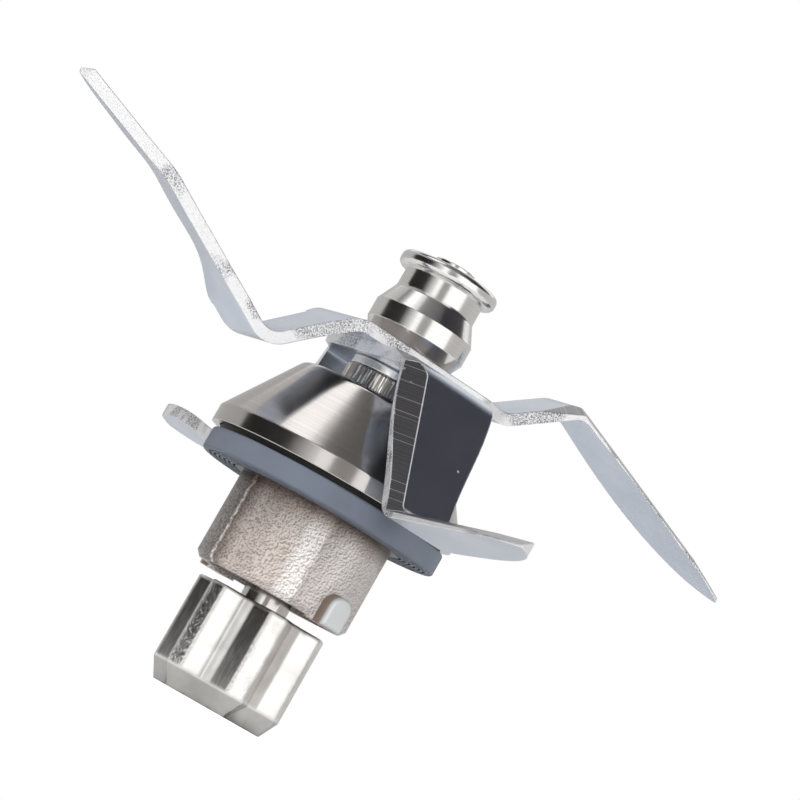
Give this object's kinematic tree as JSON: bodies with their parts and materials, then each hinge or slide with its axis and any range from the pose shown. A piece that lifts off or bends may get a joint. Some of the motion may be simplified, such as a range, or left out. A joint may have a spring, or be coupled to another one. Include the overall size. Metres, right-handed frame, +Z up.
{
  "type": "blender blade assembly",
  "caption": "Jug base blade unit: crossed bent blades on a turned knob and shaft, cone cover, rubber gasket, cast bearing housing with bayonet lugs and a lobed drive coupling.",
  "frame": {"origin": "centre of the drive coupling's flat lower face, on the spin axis", "axes": "+Z up along the spin axis from the coupling to the knob; -Y is the side the picture was taken from, +X is to the right in it"},
  "size_m": [0.1111, 0.1052, 0.0693],
  "materials": {
    "turned_steel": "turned stainless steel, fine rings",
    "satin_steel": "satin ground stainless steel",
    "blade_steel": "ground and tumbled stainless sheet",
    "bearing_steel": "polished bearing steel",
    "spring_steel": "phosphated spring steel",
    "cast_housing": "investment cast stainless steel, blasted grain",
    "grey_rubber": "matt blue-grey silicone rubber",
    "black_rubber": "black nitrile rubber",
    "black_plastic": "black moulded plastic",
    "cage_plastic": "natural polyamide"
  },
  "bodies": {
    "housing": {"bearing_housing": "cast_housing", "jug_gasket": "grey_rubber", "seal_spacer_ring": "black_plastic", "cone_cover": "turned_steel", "shaft_lip_seal": "black_rubber", "seal_spring": "spring_steel", "wave_washer": "spring_steel", "housing_circlip": "spring_steel", "lower_bearing_outer_ring": "bearing_steel", "lower_bearing_shields": "bearing_steel", "upper_bearing_outer_ring": "bearing_steel", "upper_bearing_shields": "bearing_steel"},
    "rotor": {"drive_coupling": "satin_steel", "coupling_screw": "satin_steel", "drive_shaft": "satin_steel", "shaft_retaining_ring": "spring_steel", "bearing_spacer": "satin_steel", "blade_collar": "turned_steel", "blade_washer": "turned_steel", "lower_blade": "blade_steel", "upper_blade": "blade_steel", "hub_knob": "turned_steel", "lower_bearing_inner_ring": "bearing_steel", "upper_bearing_inner_ring": "bearing_steel"},
    "lower_ball_set": {"lower_bearing_balls": "bearing_steel", "lower_bearing_cage": "cage_plastic"},
    "upper_ball_set": {"upper_bearing_balls": "bearing_steel", "upper_bearing_cage": "cage_plastic"}
  },
  "joints": [
    {"name": "blade_spin", "type": "hinge", "parent": "housing", "child": "rotor", "pos_m": [0, 0, 0.03], "axis": [0, 0, 1], "continuous": true},
    {"name": "lower_ball_orbit", "type": "hinge", "parent": "housing", "child": "lower_ball_set", "pos_m": [0, 0, 0.0227], "axis": [0, 0, 1], "continuous": true},
    {"name": "upper_ball_orbit", "type": "hinge", "parent": "housing", "child": "upper_ball_set", "pos_m": [0, 0, 0.0404], "axis": [0, 0, 1], "continuous": true}
  ],
  "couplings": [
    {"joint": "lower_ball_orbit", "follows": "blade_spin", "ratio": 0.3654},
    {"joint": "upper_ball_orbit", "follows": "blade_spin", "ratio": 0.3654}
  ]
}
